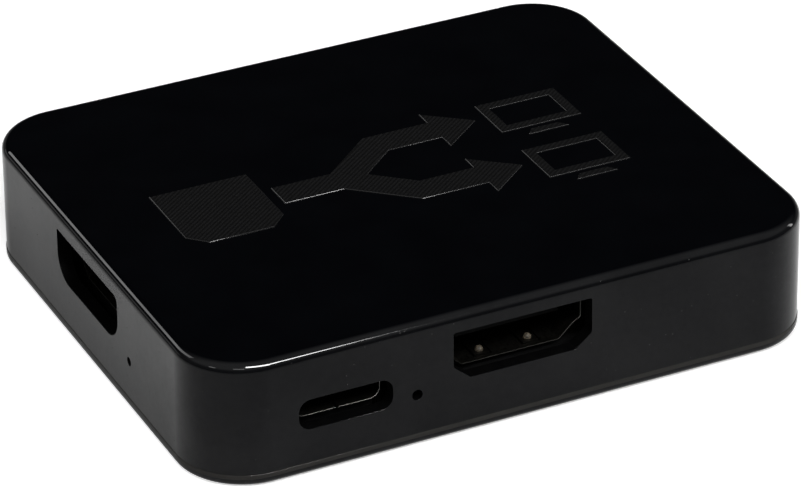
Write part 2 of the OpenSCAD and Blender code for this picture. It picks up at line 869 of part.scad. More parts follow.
// Resistors behind the memory and beside the crystal, and one behind each light
module chip_resistors() {
    h = resistor_chip_height;
    color("#23252a") {
        for (i = [-1.5 : 1.5]) translate(memory_place + [i * resistor_pitch, memory_resistor_row, 0])
            upright_passive(h);
        for (i = [1 : 4])
            translate(crystal_place + [crystal_capacitor_offset + i * resistor_pitch, 0, 0])
                upright_passive(h);
        for (place = light_places)
            on_face(place[0], board_inset)
                translate([place[1], light_depth + part_gap + passive_width / 2, board_top])
                    passive(h);
    }
}

// Surge protection arrays, two behind the contacts of each video socket
module surge_arrays() {
    back = video_shell_length + housing_back_wall + contact_foot + part_gap;
    color("#1b1c1e") for (turn = [front_turn, left_turn, right_turn], side = [-1, 1])
        place_video(turn) translate([side * surge_offset - surge_size[0] / 2, back, 0])
            cube(surge_size);
}

top_shell();
bottom_cover();
cover_screws();
circuit_board();
place_video(front_turn) video_shell();  // input_socket_shell
place_video(front_turn) video_housing();  // input_socket_housing
place_video(front_turn) video_contacts();  // input_socket_contacts
place_video(left_turn) video_shell();  // output_1_socket_shell
place_video(left_turn) video_housing();  // output_1_socket_housing
place_video(left_turn) video_contacts();  // output_1_socket_contacts
place_video(right_turn) video_shell();  // output_2_socket_shell
place_video(right_turn) video_housing();  // output_2_socket_housing
place_video(right_turn) video_contacts();  // output_2_socket_contacts
power_socket_shell();
power_socket_housing();
power_socket_contacts();
light(front_turn, power_light_offset);  // power_light
light(left_turn, output_light_offset);  // output_1_light
light(right_turn, -output_light_offset);  // output_2_light
splitter_chip();
splitter_chip_leads();
memory_chip();
voltage_regulator();
power_inductor();
bulk_capacitor();
crystal();
chip_capacitors();
chip_resistors();
surge_arrays();
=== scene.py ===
from math import acos, atan2, cos, pi, radians, sin, sqrt, tan

import bmesh
import bpy
from mathutils import Matrix, Vector


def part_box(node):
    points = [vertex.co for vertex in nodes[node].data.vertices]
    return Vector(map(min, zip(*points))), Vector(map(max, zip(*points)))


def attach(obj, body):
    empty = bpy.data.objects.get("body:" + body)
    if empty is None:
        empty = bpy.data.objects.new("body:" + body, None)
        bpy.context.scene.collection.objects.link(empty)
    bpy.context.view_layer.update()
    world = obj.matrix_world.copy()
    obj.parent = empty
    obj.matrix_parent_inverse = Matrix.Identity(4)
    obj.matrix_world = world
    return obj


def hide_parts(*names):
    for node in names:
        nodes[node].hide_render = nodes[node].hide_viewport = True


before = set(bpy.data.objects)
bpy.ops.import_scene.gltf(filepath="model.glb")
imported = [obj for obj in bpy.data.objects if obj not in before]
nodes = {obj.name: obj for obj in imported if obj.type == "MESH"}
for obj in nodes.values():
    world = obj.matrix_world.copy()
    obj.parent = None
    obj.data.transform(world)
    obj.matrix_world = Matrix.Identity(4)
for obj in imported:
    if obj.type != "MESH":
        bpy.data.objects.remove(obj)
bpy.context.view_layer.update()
mm = 0.001
print("frame loaded:", len(nodes), "pieces")


# outlines, in millimetres

def unit(x, y):
    length = sqrt(x * x + y * y)
    return x / length, y / length


def roundedOutline(corners, radii, steps=6):
    # swaps each corner of a polygon for an arc, of one radius or a radius per corner
    points = []
    for i, (x, y) in enumerate(corners):
        radius = radii[i] if isinstance(radii, (list, tuple)) else radii
        before, after = corners[i - 1], corners[(i + 1) % len(corners)]
        ux, uy = unit(before[0] - x, before[1] - y)
        vx, vy = unit(after[0] - x, after[1] - y)
        half = acos(max(-1, min(1, ux * vx + uy * vy))) / 2
        mx, my = unit(ux + vx, uy + vy)
        cx, cy = x + mx * radius / sin(half), y + my * radius / sin(half)
        reach = radius / tan(half)
        fromX, fromY = x + ux * reach - cx, y + uy * reach - cy
        toX, toY = x + vx * reach - cx, y + vy * reach - cy
        sweep = atan2(fromX * toY - fromY * toX, fromX * toX + fromY * toY)
        for k in range(steps + 1):
            a = sweep * k / steps
            points.append((cx + fromX * cos(a) - fromY * sin(a),
                           cy + fromX * sin(a) + fromY * cos(a)))
    return points


def insetOutline(corners, inset):
    # draws a counter-clockwise polygon in, keeping its edges parallel
    points = []
    for i, (x, y) in enumerate(corners):
        before, after = corners[i - 1], corners[(i + 1) % len(corners)]
        ax, ay = unit(x - before[0], y - before[1])
        bx, by = unit(after[0] - x, after[1] - y)
        scale = inset / (1 + ax * bx + ay * by)
        points.append((x - (ay + by) * scale, y + (ax + bx) * scale))
    return points


def roundedBox(width, depth, radius, steps):
    # rounded rectangle about the origin, counter-clockwise
    points = []
    for quarter, (sx, sy) in enumerate(((1, 1), (-1, 1), (-1, -1), (1, -1))):
        for k in range(steps + 1):
            a = (quarter + k / steps) * pi / 2
            points.append((sx * (width / 2 - radius) + radius * cos(a),
                           sy * (depth / 2 - radius) + radius * sin(a)))
    return points


def circleOutline(radius, steps=32):
    return [(radius * cos(2 * pi * k / steps), radius * sin(2 * pi * k / steps))
            for k in range(steps)]


def moved(outline, dx, dy):
    return [(x + dx, y + dy) for x, y in outline]


# meshes, placed in millimetres

overrun = 1.0       # how far a cutter runs past what it cuts
standOff = 0.002    # how far in front of a surface the flare of a cutter starts


def addSkin(bm, rings, closed=False):
    # joins rings of equal length into a skin, capped at both ends unless closed on itself
    rows = [[bm.verts.new(Vector(p) * mm) for p in ring] for ring in rings]
    faces = []
    count = len(rows[0])
    pairs = list(zip(rows, rows[1:]))
    if closed:
        pairs.append((rows[-1], rows[0]))
    for low, high in pairs:
        for i in range(count):
            j = (i + 1) % count
            faces.append(bm.faces.new((low[i], low[j], high[j], high[i])))
    if not closed:
        faces.append(bm.faces.new(list(reversed(rows[0]))))
        faces.append(bm.faces.new(rows[-1]))
    return faces


def addBlock(bm, low, high):
    (x0, y0, z0), (x1, y1, z1) = low, high
    plan = ((x0, y0), (x1, y0), (x1, y1), (x0, y1))
    addSkin(bm, [[(x, y, z) for x, y in plan] for z in (z0, z1)])


def addTurned(bm, centre, profile):
    # turned shape about an upright axis, from (radius, height) pairs
    rings = []
    for radius, z in profile:
        rings.append([(x, y, z) for x, y in moved(circleOutline(radius), *centre)])
    addSkin(bm, rings)


def makePiece(name, bm):
    bmesh.ops.recalc_face_normals(bm, faces=bm.faces)
    mesh = bpy.data.meshes.new(name)
    bm.to_mesh(mesh)
    bm.free()
    piece = bpy.data.objects.new(name, mesh)
    bpy.context.scene.collection.objects.link(piece)
    return piece


def reopen(piece):
    bm = bmesh.new()
    bm.from_mesh(piece.data)
    return bm


def putBack(bm, piece):
    bmesh.ops.recalc_face_normals(bm, faces=bm.faces)
    bm.to_mesh(piece.data)
    bm.free()


def combine(piece, tools, operation):
    for tool in tools:
        step = piece.modifiers.new("combine", "BOOLEAN")
        step.object = tool
        step.operation = operation
        step.solver = "EXACT"
    bpy.context.view_layer.update()
    view = bpy.context.evaluated_depsgraph_get()
    mesh = bpy.data.meshes.new_from_object(piece.evaluated_get(view))
    piece.modifiers.clear()
    piece.data = mesh
    for tool in tools:
        bpy.data.objects.remove(tool)


def finishPiece(piece, materials, slot, *replaced, sharpAngle=32):
    mesh = piece.data
    mesh.polygons.foreach_set("use_smooth", [True] * len(mesh.polygons))
    mesh.set_sharp_from_angle(angle=radians(sharpAngle))
    weighted = piece.modifiers.new("shading", "WEIGHTED_NORMAL")
    weighted.keep_sharp = True
    weighted.weight = 90
    for material in materials:
        mesh.materials.append(material)
    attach(piece, "root")
    if replaced:
        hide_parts(*replaced)


# faces of the case: x and z on the face seen from outside, then depth behind it

baseLow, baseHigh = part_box("bottom_cover")
shellLow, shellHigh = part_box("top_shell")
caseWidth = (baseHigh.x - baseLow.x) / mm
caseDepth = (baseHigh.y - baseLow.y) / mm
caseHeight = shellHigh.z / mm
seamHeight = shellLow.z / mm

faceTurns = {"front": 0, "left": -90, "right": 90}


def onFace(face, points):
    turn = radians(faceTurns[face])
    reach = caseDepth / 2 if face == "front" else caseWidth / 2
    placed = []
    for x, depth, z in points:
        y = depth - reach
        placed.append((x * cos(turn) - y * sin(turn), x * sin(turn) + y * cos(turn), z))
    return placed


def addFaceBlock(bm, face, across, depths, heights):
    (x0, x1), (d0, d1) = across, depths
    plan = ((x0, d0), (x1, d0), (x1, d1), (x0, d1))
    addSkin(bm, [onFace(face, [(x, d, z) for x, d in plan]) for z in heights])


def faceCutter(name, face, across, depths, heights):
    bm = bmesh.new()
    addFaceBlock(bm, face, across, depths, heights)
    return makePiece(name, bm)


# materials

def startMaterial(name):
    material = bpy.data.materials.new(name)
    material.use_nodes = True
    tree = material.node_tree
    return material, tree, tree.nodes["Principled BSDF"]


def addNode(tree, kind, **values):
    node = tree.nodes.new(kind)
    for key, value in values.items():
        if key in node.inputs:
            node.inputs[key].default_value = value
        else:
            setattr(node, key, value)
    return node


def mathOn(tree, operation, *values):
    # works on other nodes' outputs and on plain numbers
    node = addNode(tree, "ShaderNodeMath", operation=operation)
    for k, value in enumerate(values):
        if isinstance(value, (int, float)):
            node.inputs[k].default_value = value
        else:
            tree.links.new(value, node.inputs[k])
    return node.outputs[0]


def objectPoints(tree):
    return addNode(tree, "ShaderNodeTexCoord").outputs["Object"]


def axisOf(tree, vector, axis):
    parts = addNode(tree, "ShaderNodeSeparateXYZ")
    tree.links.new(vector, parts.inputs["Vector"])
    return parts.outputs[axis]


def noiseOn(tree, points, scale, detail=3, roughness=0.5):
    noise = addNode(tree, "ShaderNodeTexNoise", Scale=scale, Detail=detail, Roughness=roughness)
    tree.links.new(points, noise.inputs["Vector"])
    return noise.outputs["Fac"]


def spread(tree, value, lowOut, highOut, lowIn=0.3, highIn=0.7, curve="LINEAR"):
    # maps a range, by default the middle of a noise, onto another
    remap = addNode(tree, "ShaderNodeMapRange", interpolation_type=curve)
    remap.inputs["From Min"].default_value = lowIn
    remap.inputs["From Max"].default_value = highIn
    remap.inputs["To Min"].default_value = lowOut
    remap.inputs["To Max"].default_value = highOut
    tree.links.new(value, remap.inputs["Value"])
    return remap.outputs["Result"]


def mixColours(tree, factor, first, second):
    mix = addNode(tree, "ShaderNodeMix", data_type="RGBA")
    tree.links.new(factor, mix.inputs["Factor"])
    for key, colour in (("A", first), ("B", second)):
        if isinstance(colour, tuple):
            mix.inputs[key].default_value = (*colour, 1)
        else:
            tree.links.new(colour, mix.inputs[key])
    return mix.outputs["Result"]


def bumpOn(tree, shader, height, distance):
    bump = addNode(tree, "ShaderNodeBump", Strength=1.0, Distance=distance)
    tree.links.new(height, bump.inputs["Height"])
    tree.links.new(bump.outputs["Normal"], shader.inputs["Normal"])


# pitches are per metre
glossBlack = {
    "dark": (0.0002, 0.0003, 0.0008),
    "light": (0.0006, 0.0008, 0.0014),
    "cloudPitch": 160,              # drift between the two blacks
    "ior": 1.245,
    "polish": (0.03, 0.07),         # roughness of clean plastic
    "hazePitch": 1900,
    "smear": (0.41, 0.59),          # how the shine varies where hands wiped it
    "smearPitch": 95,
    "mottle": 0.05,                 # finer changes of shine on the upright sides
    "mottlePitch": 1300,
    "wavePitch": 230,               # ripples of the mould
    "waveHeight": 0.000004,
    "dust": (0.022, 0.0215, 0.0205),
    "dustRough": 0.5,
    "speckPitch": 1100,             # specks of dust on the upright sides
    "speckSize": 0.066,
    "speckShare": 0.5,
    "wiped": (0.3, 0.7),            # slant of a surface over which it counts as the wiped top
}


def makeGlossBlack(look):
    material, tree, shader = startMaterial("glossBlackCase")
    points = objectPoints(tree)
    normal = addNode(tree, "ShaderNodeNewGeometry").outputs["Normal"]
    upright = spread(tree, axisOf(tree, normal, "Z"), 1, 0, *look["wiped"])
    cells = addNode(tree, "ShaderNodeTexVoronoi", Scale=look["speckPitch"])
    tree.links.new(points, cells.inputs["Vector"])
    speck = mathOn(tree, "LESS_THAN", cells.outputs["Distance"], look["speckSize"])
    chosen = mathOn(tree, "GREATER_THAN", cells.outputs["Color"], 1 - look["speckShare"])
    dust = mathOn(tree, "MULTIPLY", speck, mathOn(tree, "MULTIPLY", chosen, upright))
    cloud = noiseOn(tree, points, look["cloudPitch"], 4)
    clean = mixColours(tree, spread(tree, cloud, 0, 1), look["dark"], look["light"])
    tree.links.new(mixColours(tree, dust, clean, look["dust"]), shader.inputs["Base Color"])
    haze = noiseOn(tree, points, look["hazePitch"], 5, 0.65)
    rough = mathOn(tree, "MULTIPLY_ADD", dust, look["dustRough"], spread(tree, haze, *look["polish"]))
    tree.links.new(rough, shader.inputs["Roughness"])
    smear = spread(tree, noiseOn(tree, points, look["smearPitch"], 6, 0.6), *look["smear"])
    fine = noiseOn(tree, points, look["mottlePitch"], 4, 0.7)
    mottle = spread(tree, fine, -look["mottle"], look["mottle"])
    tree.links.new(mathOn(tree, "MULTIPLY_ADD", mottle, upright, smear),
                   shader.inputs["Specular IOR Level"])
    shader.inputs["IOR"].default_value = look["ior"]
    bumpOn(tree, shader, noiseOn(tree, points, look["wavePitch"], 1), look["waveHeight"])
    return material


# finishes of the other pieces: two colours, metal, then roughness range, refractive index,
# grain per metre and its depth
finishes = {
    # painted shade: the openings' walls are a dull, almost unreflecting black, for the shade inside the
    # openings
    "mouthPaintedShade": ((0.0006, 0.0006, 0.0007), (0.0016, 0.0016, 0.0017), 0,
                   (0.50, 0.70), 1.06, 6000, 0.000014),
    # painted sheen: a lighter band along the base's side, for the light it catches below the seam
    "baseBandPaintedSheen": ((0.0264, 0.0254, 0.0239), (0.0217, 0.0209, 0.0197), 0,
                  (0.08, 0.15), 1.12, 2600, 0.000002),
    "matteRelief": ((0.0008, 0.0008, 0.0009), (0.0016, 0.0016, 0.0018), 0,
                    (0.36, 0.48), 1.20, 9000, 0.000005),
    # painted sheen: the ribs are a lighter black than the plate's top, for the light they catch
    "ribPaintedSheen": ((0.0022, 0.0022, 0.0024), (0.0040, 0.0040, 0.0043), 0,
                  (0.34, 0.46), 1.26, 9000, 0.000005),
    # painted highlight: the relief's edges and sides are a lighter black than its top
    "reliefEdgePaintedHighlight": ((0.0020, 0.0020, 0.0022), (0.0030, 0.0030, 0.0032), 0,
                   (0.16, 0.24), 1.25, 9000, 0.000002),
    # painted shade: the sockets' nickel is made almost black, for the shade inside the sockets
    "nickelPaintedShade": ((0.034, 0.032, 0.028), (0.022, 0.021, 0.018), 1,
                   (0.25, 0.40), 1.45, 5200, 0.000003),
    # the rim finishes are one bare nickel at different lightnesses: painted shade and painted light for
    # how light falls on each part of a rim
    "rimPaintedLight": ((0.0585, 0.0575, 0.0540), (0.0410, 0.0402, 0.0378), 1,
                (0.45, 0.60), 1.45, 5200, 0.000004),
    "rimPaintedShade": ((0.012, 0.0118, 0.0107), (0.008, 0.0078, 0.0071), 1,
                (0.45, 0.60), 1.45, 5200, 0.000004),
    "rimPaintedMidLight": ((0.036, 0.0355, 0.0330), (0.025, 0.0246, 0.0228), 1,
                 (0.45, 0.60), 1.45, 5200, 0.000004),
    "rimPaintedHighlight": ((0.19, 0.188, 0.180), (0.135, 0.133, 0.127), 1,
                (0.45, 0.60), 1.45, 5200, 0.000004),
    # painted highlight: the spring dimples are a light matt beige, for the light their metal catches
    "dimplePaintedHighlight": ((0.21, 0.174, 0.122), (0.046, 0.038, 0.027), 0,
                   (0.50, 0.70), 1.20, 18000, 0.000008),
    "goldContacts": ((0.90, 0.66, 0.30), (0.80, 0.56, 0.24), 1,
                     (0.18, 0.30), 1.45, 6000, 0.000002),
    "socketBlack": ((0.0016, 0.0016, 0.0017), (0.0034, 0.0034, 0.0035), 0,
                    (0.55, 0.72), 1.12, 7000, 0.000010),
    "blackOxide": ((0.030, 0.030, 0.032), (0.055, 0.054, 0.052), 1,
                   (0.35, 0.55), 1.45, 4200, 0.000008),
    "boardBlack": ((0.0016, 0.0016, 0.0018), (0.0034, 0.0034, 0.0037), 0,
                   (0.50, 0.65), 1.15, 900, 0.000012),
    "chipEpoxy": ((0.014, 0.014, 0.015), (0.024, 0.024, 0.025), 0,
                  (0.55, 0.75), 1.45, 8000, 0.000012),
    "tinnedLeads": ((0.72, 0.72, 0.72), (0.62, 0.62, 0.63), 1,
                    (0.25, 0.42), 1.45, 5000, 0.000003),
    "ferriteGrey": ((0.040, 0.040, 0.044), (0.065, 0.064, 0.068), 0,
                    (0.60, 0.80), 1.45, 6000, 0.000016),
    "canAluminium": ((0.78, 0.79, 0.80), (0.70, 0.71, 0.72), 1,
                     (0.28, 0.40), 1.45, 3200, 0.000005),
    "canSteel": ((0.70, 0.70, 0.70), (0.62, 0.62, 0.61), 1,
                 (0.20, 0.34), 1.45, 3600, 0.000004),
    "tanCeramic": ((0.40, 0.31, 0.20), (0.33, 0.25, 0.16), 0,
                   (0.40, 0.60), 1.45, 6000, 0.000006),
    "resistorBlack": ((0.018, 0.018, 0.021), (0.032, 0.032, 0.036), 0,
                      (0.35, 0.55), 1.45, 6000, 0.000006),
    "milkyLens": ((0.82, 0.80, 0.74), (0.74, 0.72, 0.66), 0,
                  (0.25, 0.40), 1.45, 3000, 0.000004),
}
cloudShare = 0.22       # pitch of the drift between a finish's two colours, as a share of its grain


def makeFinish(name):
    first, second, metal, roughRange, ior, grain, depth = finishes[name]
    material, tree, shader = startMaterial(name)
    points = objectPoints(tree)
    cloud = noiseOn(tree, points, grain * cloudShare)
    fine = noiseOn(tree, points, grain, 4, 0.6)
    tree.links.new(mixColours(tree, spread(tree, cloud, 0, 1), first, second),
                   shader.inputs["Base Color"])
    tree.links.new(spread(tree, fine, *roughRange), shader.inputs["Roughness"])
    shader.inputs["Metallic"].default_value = metal
    shader.inputs["IOR"].default_value = ior
    bumpOn(tree, shader, fine, depth)
    return material


caseBlack = makeGlossBlack(glossBlack)
paints = {name: makeFinish(name) for name in finishes}
print("materials made:", len(paints) + 1)


# gloss case: upper shell

upperShell = {
    "cornerRadius": 7.0,
    "topEdge": 1.0,
    "wall": 1.5,
    "roof": 1.3,
    "flange": 0.06,         # how far the base stands out at the parting line
    "lean": 0.08,           # how far the walls lean in towards the top
    "lowerRound": 0.03,
    "glossTurn": 0.1,       # how far the gloss turns into the openings
    "slack": 0.02,          # short of the wall's back, where the openings' sides end
    "cornerSteps": 28,
    "edgeSteps": 14,
}
mouths = {
    "lipRound": 0.02,       # rounding on the edge of the sockets' openings
    "pinLip": 0.012,        # and of the pinholes
    "lipSteps": 4,
    "slantWidth": 1.75,
    "slantHeight": 1.45,
    "powerWidth": 9.68,
    "powerHeight": 3.2,
    "powerCorner": 1.25,
    "powerX": -18.513,
    "powerZ": 6.36,
}
videoMouths = {
    "front": {"span": (-7.33, 7.33), "floor": 5.86, "top": 11.06,
              "upperRound": (0.25, 0.25), "slantRound": 0.45},
    "left": {"span": (-7.81, 7.27), "floor": 5.76, "top": 10.96,
             "upperRound": (0.25, 0.8), "slantRound": 2.6},
    "right": {"span": (-7.27, 7.81), "floor": 5.76, "top": 10.96,
              "upperRound": (0.8, 0.25), "slantRound": 2.6},
}
pinholes = {
    "front": {"x": -11.16, "z": 5.41, "across": 1.1},
    "left": {"x": 9.85, "z": 5.31, "across": 0.92},
    "right": {"x": -9.85, "z": 5.31, "across": 0.92},
}


def planRing(inset, z):
    plan = roundedBox(caseWidth - 2 * inset, caseDepth - 2 * inset,
                      upperShell["cornerRadius"] - inset, upperShell["cornerSteps"])
    return [(x, y, z) for x, y in plan]


def wallInset(z):
    rise = (z - seamHeight) / (caseHeight - seamHeight)
    return upperShell["flange"] + upperShell["lean"] * rise


def behindWall(x, y):
    # distance in from the case's outline
    r = upperShell["cornerRadius"]
    past = Vector((abs(x) - caseWidth / 2 + r, abs(y) - caseDepth / 2 + r))
    if past.x > 0 and past.y > 0:
        return r - past.length
    return r - max(past)


def mouthCutter(name, face, outline, grow):
    # cutter whose mouth flares into the face, so that the opening's edge is rounded
    bm = bmesh.new()
    steps = mouths["lipSteps"]
    heights = [z for x, z in outline]
    start = wallInset((min(heights) + max(heights)) / 2) - standOff
    profile = [(grow, -overrun)]
    for k in range(steps + 1):
        a = k / steps * pi / 2
        profile.append((grow * (1 - sin(a)), start + grow * (1 - cos(a))))
    profile.append((0, upperShell["wall"] + overrun))
    rings = []
    for outset, depth in profile:
        ring = insetOutline(outline, -outset)
        rings.append(onFace(face, [(x, depth, z) for x, z in ring]))
    addSkin(bm, rings)
    return makePiece(name, bm)


def videoMouth(face):
    look = videoMouths[face]
    (x0, x1), low, high = look["span"], look["floor"], look["top"]
    wide, tall = mouths["slantWidth"], mouths["slantHeight"]
    corners = [(x0, high), (x0, low + tall), (x0 + wide, low),
               (x1 - wide, low), (x1, low + tall), (x1, high)]
    (start, end), slant = look["upperRound"], look["slantRound"]
    return roundedOutline(corners, (start, slant, slant, slant, slant, end), 8)


def powerMouth():
    plan = roundedBox(mouths["powerWidth"], mouths["powerHeight"], mouths["powerCorner"], 10)
    return moved(plan, mouths["powerX"], mouths["powerZ"])


def makeUpperShell(look):
    roofZ = caseHeight - look["roof"]
    edge, soft = look["topEdge"], look["lowerRound"]
    outer = look["flange"] + look["lean"]
    rings = []
    for k in range(look["edgeSteps"] + 1):
        a = k / look["edgeSteps"] * pi / 2
        rings.append(planRing(outer + edge * (1 - sin(a)), caseHeight - edge * (1 - cos(a))))
    rings.append(planRing(look["flange"], seamHeight + soft))
    rings.append(planRing(look["flange"] + soft, seamHeight))
    rings.append(planRing(look["wall"], seamHeight))
    rings.append(planRing(look["wall"], roofZ))
    bm = bmesh.new()
    addSkin(bm, rings)
    shell = makePiece("upperShell", bm)
    cutters = []
    for face in faceTurns:
        cutters.append(mouthCutter(face + "Mouth", face, videoMouth(face), mouths["lipRound"]))
    cutters.append(mouthCutter("powerMouth", "front", powerMouth(), mouths["lipRound"]))
    for face, hole in pinholes.items():
        ring = moved(circleOutline(hole["across"] / 2), hole["x"], hole["z"])
        cutters.append(mouthCutter(face + "Pinhole", face, ring, mouths["pinLip"]))
    combine(shell, cutters, "DIFFERENCE")
    gloss = look["glossTurn"]
    # walls deep inside the openings take the painted shade
    for facet in shell.data.polygons:
        x, y, z = facet.center / mm
        deep = outer + gloss < behindWall(x, y) < look["wall"] - look["slack"]
        if deep and seamHeight + overrun < z < roofZ - gloss:
            facet.material_index = 1
    finishPiece(shell, (caseBlack, paints["mouthPaintedShade"]), "gloss_case", "top_shell")


makeUpperShell(upperShell)
print("upper shell made")


# gloss case: base cover with its screw wells, posts and lips

baseCover = {
    "edge": 0.60,
    "bandFoot": 0.76,       # the lighter band, painted sheen, runs from here up to the seam
    "seamRound": 0.11,
    "bossX": 27.803,
    "bossY": 22.653,
    "wellRadius": 2.15,
    "wellRound": 0.12,
    "wellEase": 0.3,        # where the middle of that round lies, as a share of it
    "wellDepth": 1.3,
    "holeRadius": 1.2,
    "padRadius": 2.5,
    "padSunk": 0.4,
    "padTop": 2.4,
    "postX": 26.5,
    "postY": 13.5,
    "postRadius": 2.0,
    "postTop": 3.5,
    "lipInset": 1.6,
    "lipThickness": 1.0,
    "lipTop": 2.4,
    "lipGap": 5.0,          # from a screw to the end of a lip
    "edgeSteps": 10,
}


def fourCorners(x, y):
    return [(sx * x, sy * y) for sx in (-1, 1) for sy in (-1, 1)]


def makeBaseCover(look):
    edge, soft = look["edge"], look["seamRound"]
    turns = [k / look["edgeSteps"] * pi / 2 for k in range(look["edgeSteps"] + 1)]
    rings = [planRing(edge * (1 - sin(a)), edge * (1 - cos(a))) for a in turns]
    rings.append(planRing(0, look["bandFoot"]))
    rings += [planRing(soft * (1 - cos(a)), seamHeight - soft * (1 - sin(a))) for a in turns]
    bm = bmesh.new()
    addSkin(bm, rings)
    cover = makePiece("baseCover", bm)
    screws = fourCorners(look["bossX"], look["bossY"])
    radius, rim, deep = look["wellRadius"], look["wellRound"], look["wellDepth"]
    middle = rim * look["wellEase"]
    padProfile = [(look["padRadius"], seamHeight - look["padSunk"]), (look["padRadius"], look["padTop"])]
    wellProfile = [(radius + rim, -overrun), (radius + rim, -standOff), (radius + middle, middle),
                   (radius, rim), (radius, deep), (look["holeRadius"], deep),
                   (look["holeRadius"], look["padTop"] + overrun)]
    for profile, operation in ((padProfile, "UNION"), (wellProfile, "DIFFERENCE")):
        tools = []
        for spot in screws:
            bm = bmesh.new()
            addTurned(bm, spot, profile)
            tools.append(makePiece("tool", bm))
        combine(cover, tools, operation)
    bm = reopen(cover)
    for spot in fourCorners(look["postX"], look["postY"]):
        addTurned(bm, spot, [(look["postRadius"], seamHeight), (look["postRadius"], look["postTop"])])
    lipX = caseWidth / 2 - look["lipInset"]
    lipY = caseDepth / 2 - look["lipInset"]
    longX, longY = look["bossX"] - look["lipGap"], look["bossY"] - look["lipGap"]
    for side in (-1, 1):
        y0, y1 = sorted((side * lipY, side * (lipY - look["lipThickness"])))
        addBlock(bm, (-longX, y0, seamHeight), (longX, y1, look["lipTop"]))
        x0, x1 = sorted((side * lipX, side * (lipX - look["lipThickness"])))
        addBlock(bm, (x0, -longY, seamHeight), (x1, longY, look["lipTop"]))
    putBack(bm, cover)
    # faces below the band's foot keep the gloss black, the rest takes the painted sheen
    for facet in cover.data.polygons:
        if facet.center.z < look["bandFoot"] * mm:
            facet.material_index = 1
    finishPiece(cover, (paints["baseBandPaintedSheen"], caseBlack), "gloss_case", "bottom_cover")


makeBaseCover(baseCover)
print("base cover made")


# sockets: what the folded shells share

def addTube(bm, outlineAt, face, s):
    # inner wall from the back, over the rim's land, and back along the outer wall
    sheet, length, soft = s["sheet"], s["length"], s["rimSoft"]
    profile = ((sheet, length), (sheet, soft), (sheet - soft, 0),
               (sheet - s["rimLand"], 0), (0, s["rimBevel"]), (0, length))
    rings = [onFace(face, [(x, s["setback"] + depth, z) for x, z in outlineAt(inset)])
             for inset, depth in profile]
    count = len(rings[0])
    faces = addSkin(bm, rings, closed=True)
    # past each turn along x, the rim's rounding and land take a lighter copy of the nickel, painted
    # light
    xs = [x for x, z in outlineAt(0)]
    for k, facet in enumerate(faces[count:3 * count]):
        facet.material_index = 1 + sum(xs[k % count] > turn for turn in s["rimLightTurns"])


def addLegs(bm, face, s, middle, top):
    # solder legs that run down from both side walls
    for side in (-1, 1):
        edge = middle + side * s["width"] / 2
        across = sorted((edge, edge - side * s["sheet"]))
        for place in s["legPlaces"]:
            depth = s["setback"] + place
            addFaceBlock(bm, face, across, (depth, depth + s["legWidth"]), (s["legBottom"], top))


# video sockets: shell with slots and spring fingers

videoSocket = {
    "setback": 2.3,
    "floor": 5.75,
    "width": 15.0,
    "height": 5.72,
    "flat": 10.56,
    "flatShift": -0.27,     # the flat of the floor and its fingers sit off the middle
    "shoulder": 2.01,
    "breakInset": 0.95,     # where the slanting side changes its slope
    "breakDrop": 0.58,
    "bend": 0.25,
    "sheet": 0.3,
    "length": 11.0,
    "rimSoft": 0.012,
    "rimLand": 0.06,        # part of the sheet's edge that faces out, the rest is bevelled back
    "rimBevel": 0.35,
    "rimLightTurns": (4.9, 6.9),     # where the painted light on the rim gets brighter along its slant and up its side
    "fingerX": 2.58,
    "fingerWidth": 1.6,
    "fingerRound": 0.04,
    "fingerTip": 0.8,
    "fingerLength": 4.6,
    "fingerSlope": 1.0,     # degrees
    "slit": 0.2,
    "slotReach": 0.6,
    "domeFromTip": 0.75,
    "domeRadius": 0.42,
    "domeRise": 0.05,       # centre of the dome's ball above the finger's surface
    "domeSweep": (-10, 88.5),   # degrees of the ball, from its foot to its crown
    "domeSteps": 8,
    "legWidth": 1.5,
    "legPlaces": (1.9, 8.4),
    "legBottom": 2.7,
}
videoPaints = ("nickelPaintedShade", "rimPaintedShade", "rimPaintedMidLight", "rimPaintedHighlight", "dimplePaintedHighlight")


def videoOutline(inset):
    s = videoSocket
    w, f, k = s["width"] / 2, s["flat"] / 2, s["width"] / 2 - s["breakInset"]
    shoulder, top, shift = s["shoulder"], s["height"], s["flatShift"]
    drop = shoulder - s["breakDrop"]
    corners = [(-w, top), (-w, shoulder), (2 * shift - k, drop), (shift - f, 0),
               (shift + f, 0), (k, drop), (w, shoulder), (w, top)]
    outline = roundedOutline(insetOutline(corners, inset), s["bend"] + s["sheet"] - inset, 5)
    return moved(outline, 0, s["floor"])


def addFinger(bm, face, middle, upward):
    # strip that rises into the socket towards the mouth, with a pressed dome near its tip
    s = videoSocket
    slope = tan(radians(s["fingerSlope"]))
    base = s["floor"] if upward > 0 else s["floor"] + s["height"]
    half, sheet = s["fingerWidth"] / 2, s["sheet"]

    def place(u, v, lift):
        rise = (s["fingerLength"] - v) * slope + lift
        return (middle + u, s["setback"] + s["fingerTip"] + v, base + upward * rise)

    section = roundedOutline([(-half, 0), (half, 0), (half, sheet), (-half, sheet)],
                             s["fingerRound"], 3)
    rings = []
    for v in (0, s["fingerLength"]):
        rings.append(onFace(face, [place(u, v, lift) for u, lift in section]))
    addSkin(bm, rings)
    rings = []
    foot, crown = s["domeSweep"]
    for k in range(s["domeSteps"] + 1):
        a = radians(foot + (crown - foot) * k / s["domeSteps"])
        lift = sheet + s["domeRise"] + s["domeRadius"] * sin(a)
        ring = moved(circleOutline(s["domeRadius"] * cos(a), 28), 0, s["domeFromTip"])
        rings.append(onFace(face, [place(u, v, lift) for u, v in ring]))
    # the dome takes the painted highlight
    for facet in addSkin(bm, rings):
        facet.material_index = videoPaints.index("dimplePaintedHighlight")


